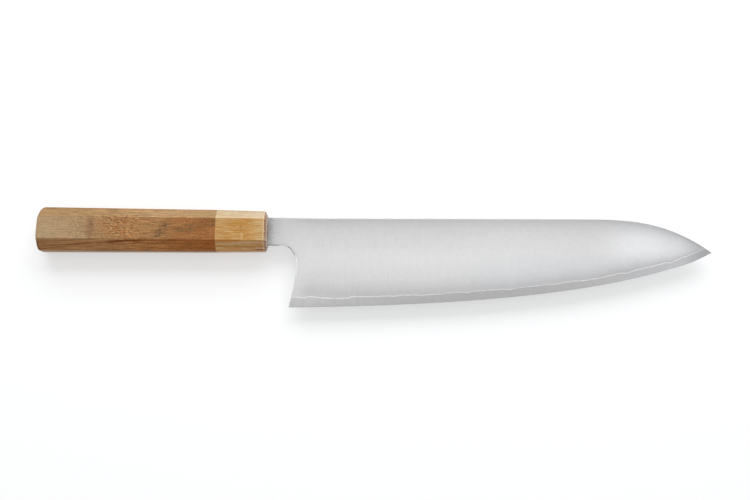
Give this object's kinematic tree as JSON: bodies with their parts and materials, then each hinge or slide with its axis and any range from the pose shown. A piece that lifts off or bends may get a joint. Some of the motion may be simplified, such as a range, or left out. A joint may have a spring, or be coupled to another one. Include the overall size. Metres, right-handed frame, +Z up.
{
  "type": "gyuto knife",
  "caption": "Gyuto chef's knife: long laminated steel blade with a hollowed choil and a thin ground edge, on an octagonal wooden handle with a pale ferrule, for slicing and chopping.",
  "frame": {"origin": "under the middle of the knife as it lies on its left face, on the surface that the lowest facet of the handle meets", "axes": "+X along the knife to the tip, +Y from the edge to the spine, +Z up out of the knife's right face"},
  "size_m": [0.3828, 0.0554, 0.0207],
  "materials": {
    "core_steel": "fine polished hard steel, a little darker than the cladding",
    "cladding_steel": "soft satin steel with fine lines from spine to edge",
    "ferrule_wood": "pale straw-coloured wood with straight fibres, smooth sanded",
    "handle_wood": "mid-brown figured wood with fine pores, smooth sanded",
    "dowel_wood": "plain turned wood, unfinished",
    "bedding_adhesive": "set adhesive"
  },
  "bodies": {
    "root": {"core_steel": "core_steel", "cladding_right": "cladding_steel", "cladding_left": "cladding_steel", "ferrule": "ferrule_wood", "handle_body": "handle_wood", "tang_dowel": "dowel_wood", "tang_bedding": "bedding_adhesive"}
  },
  "joints": []
}
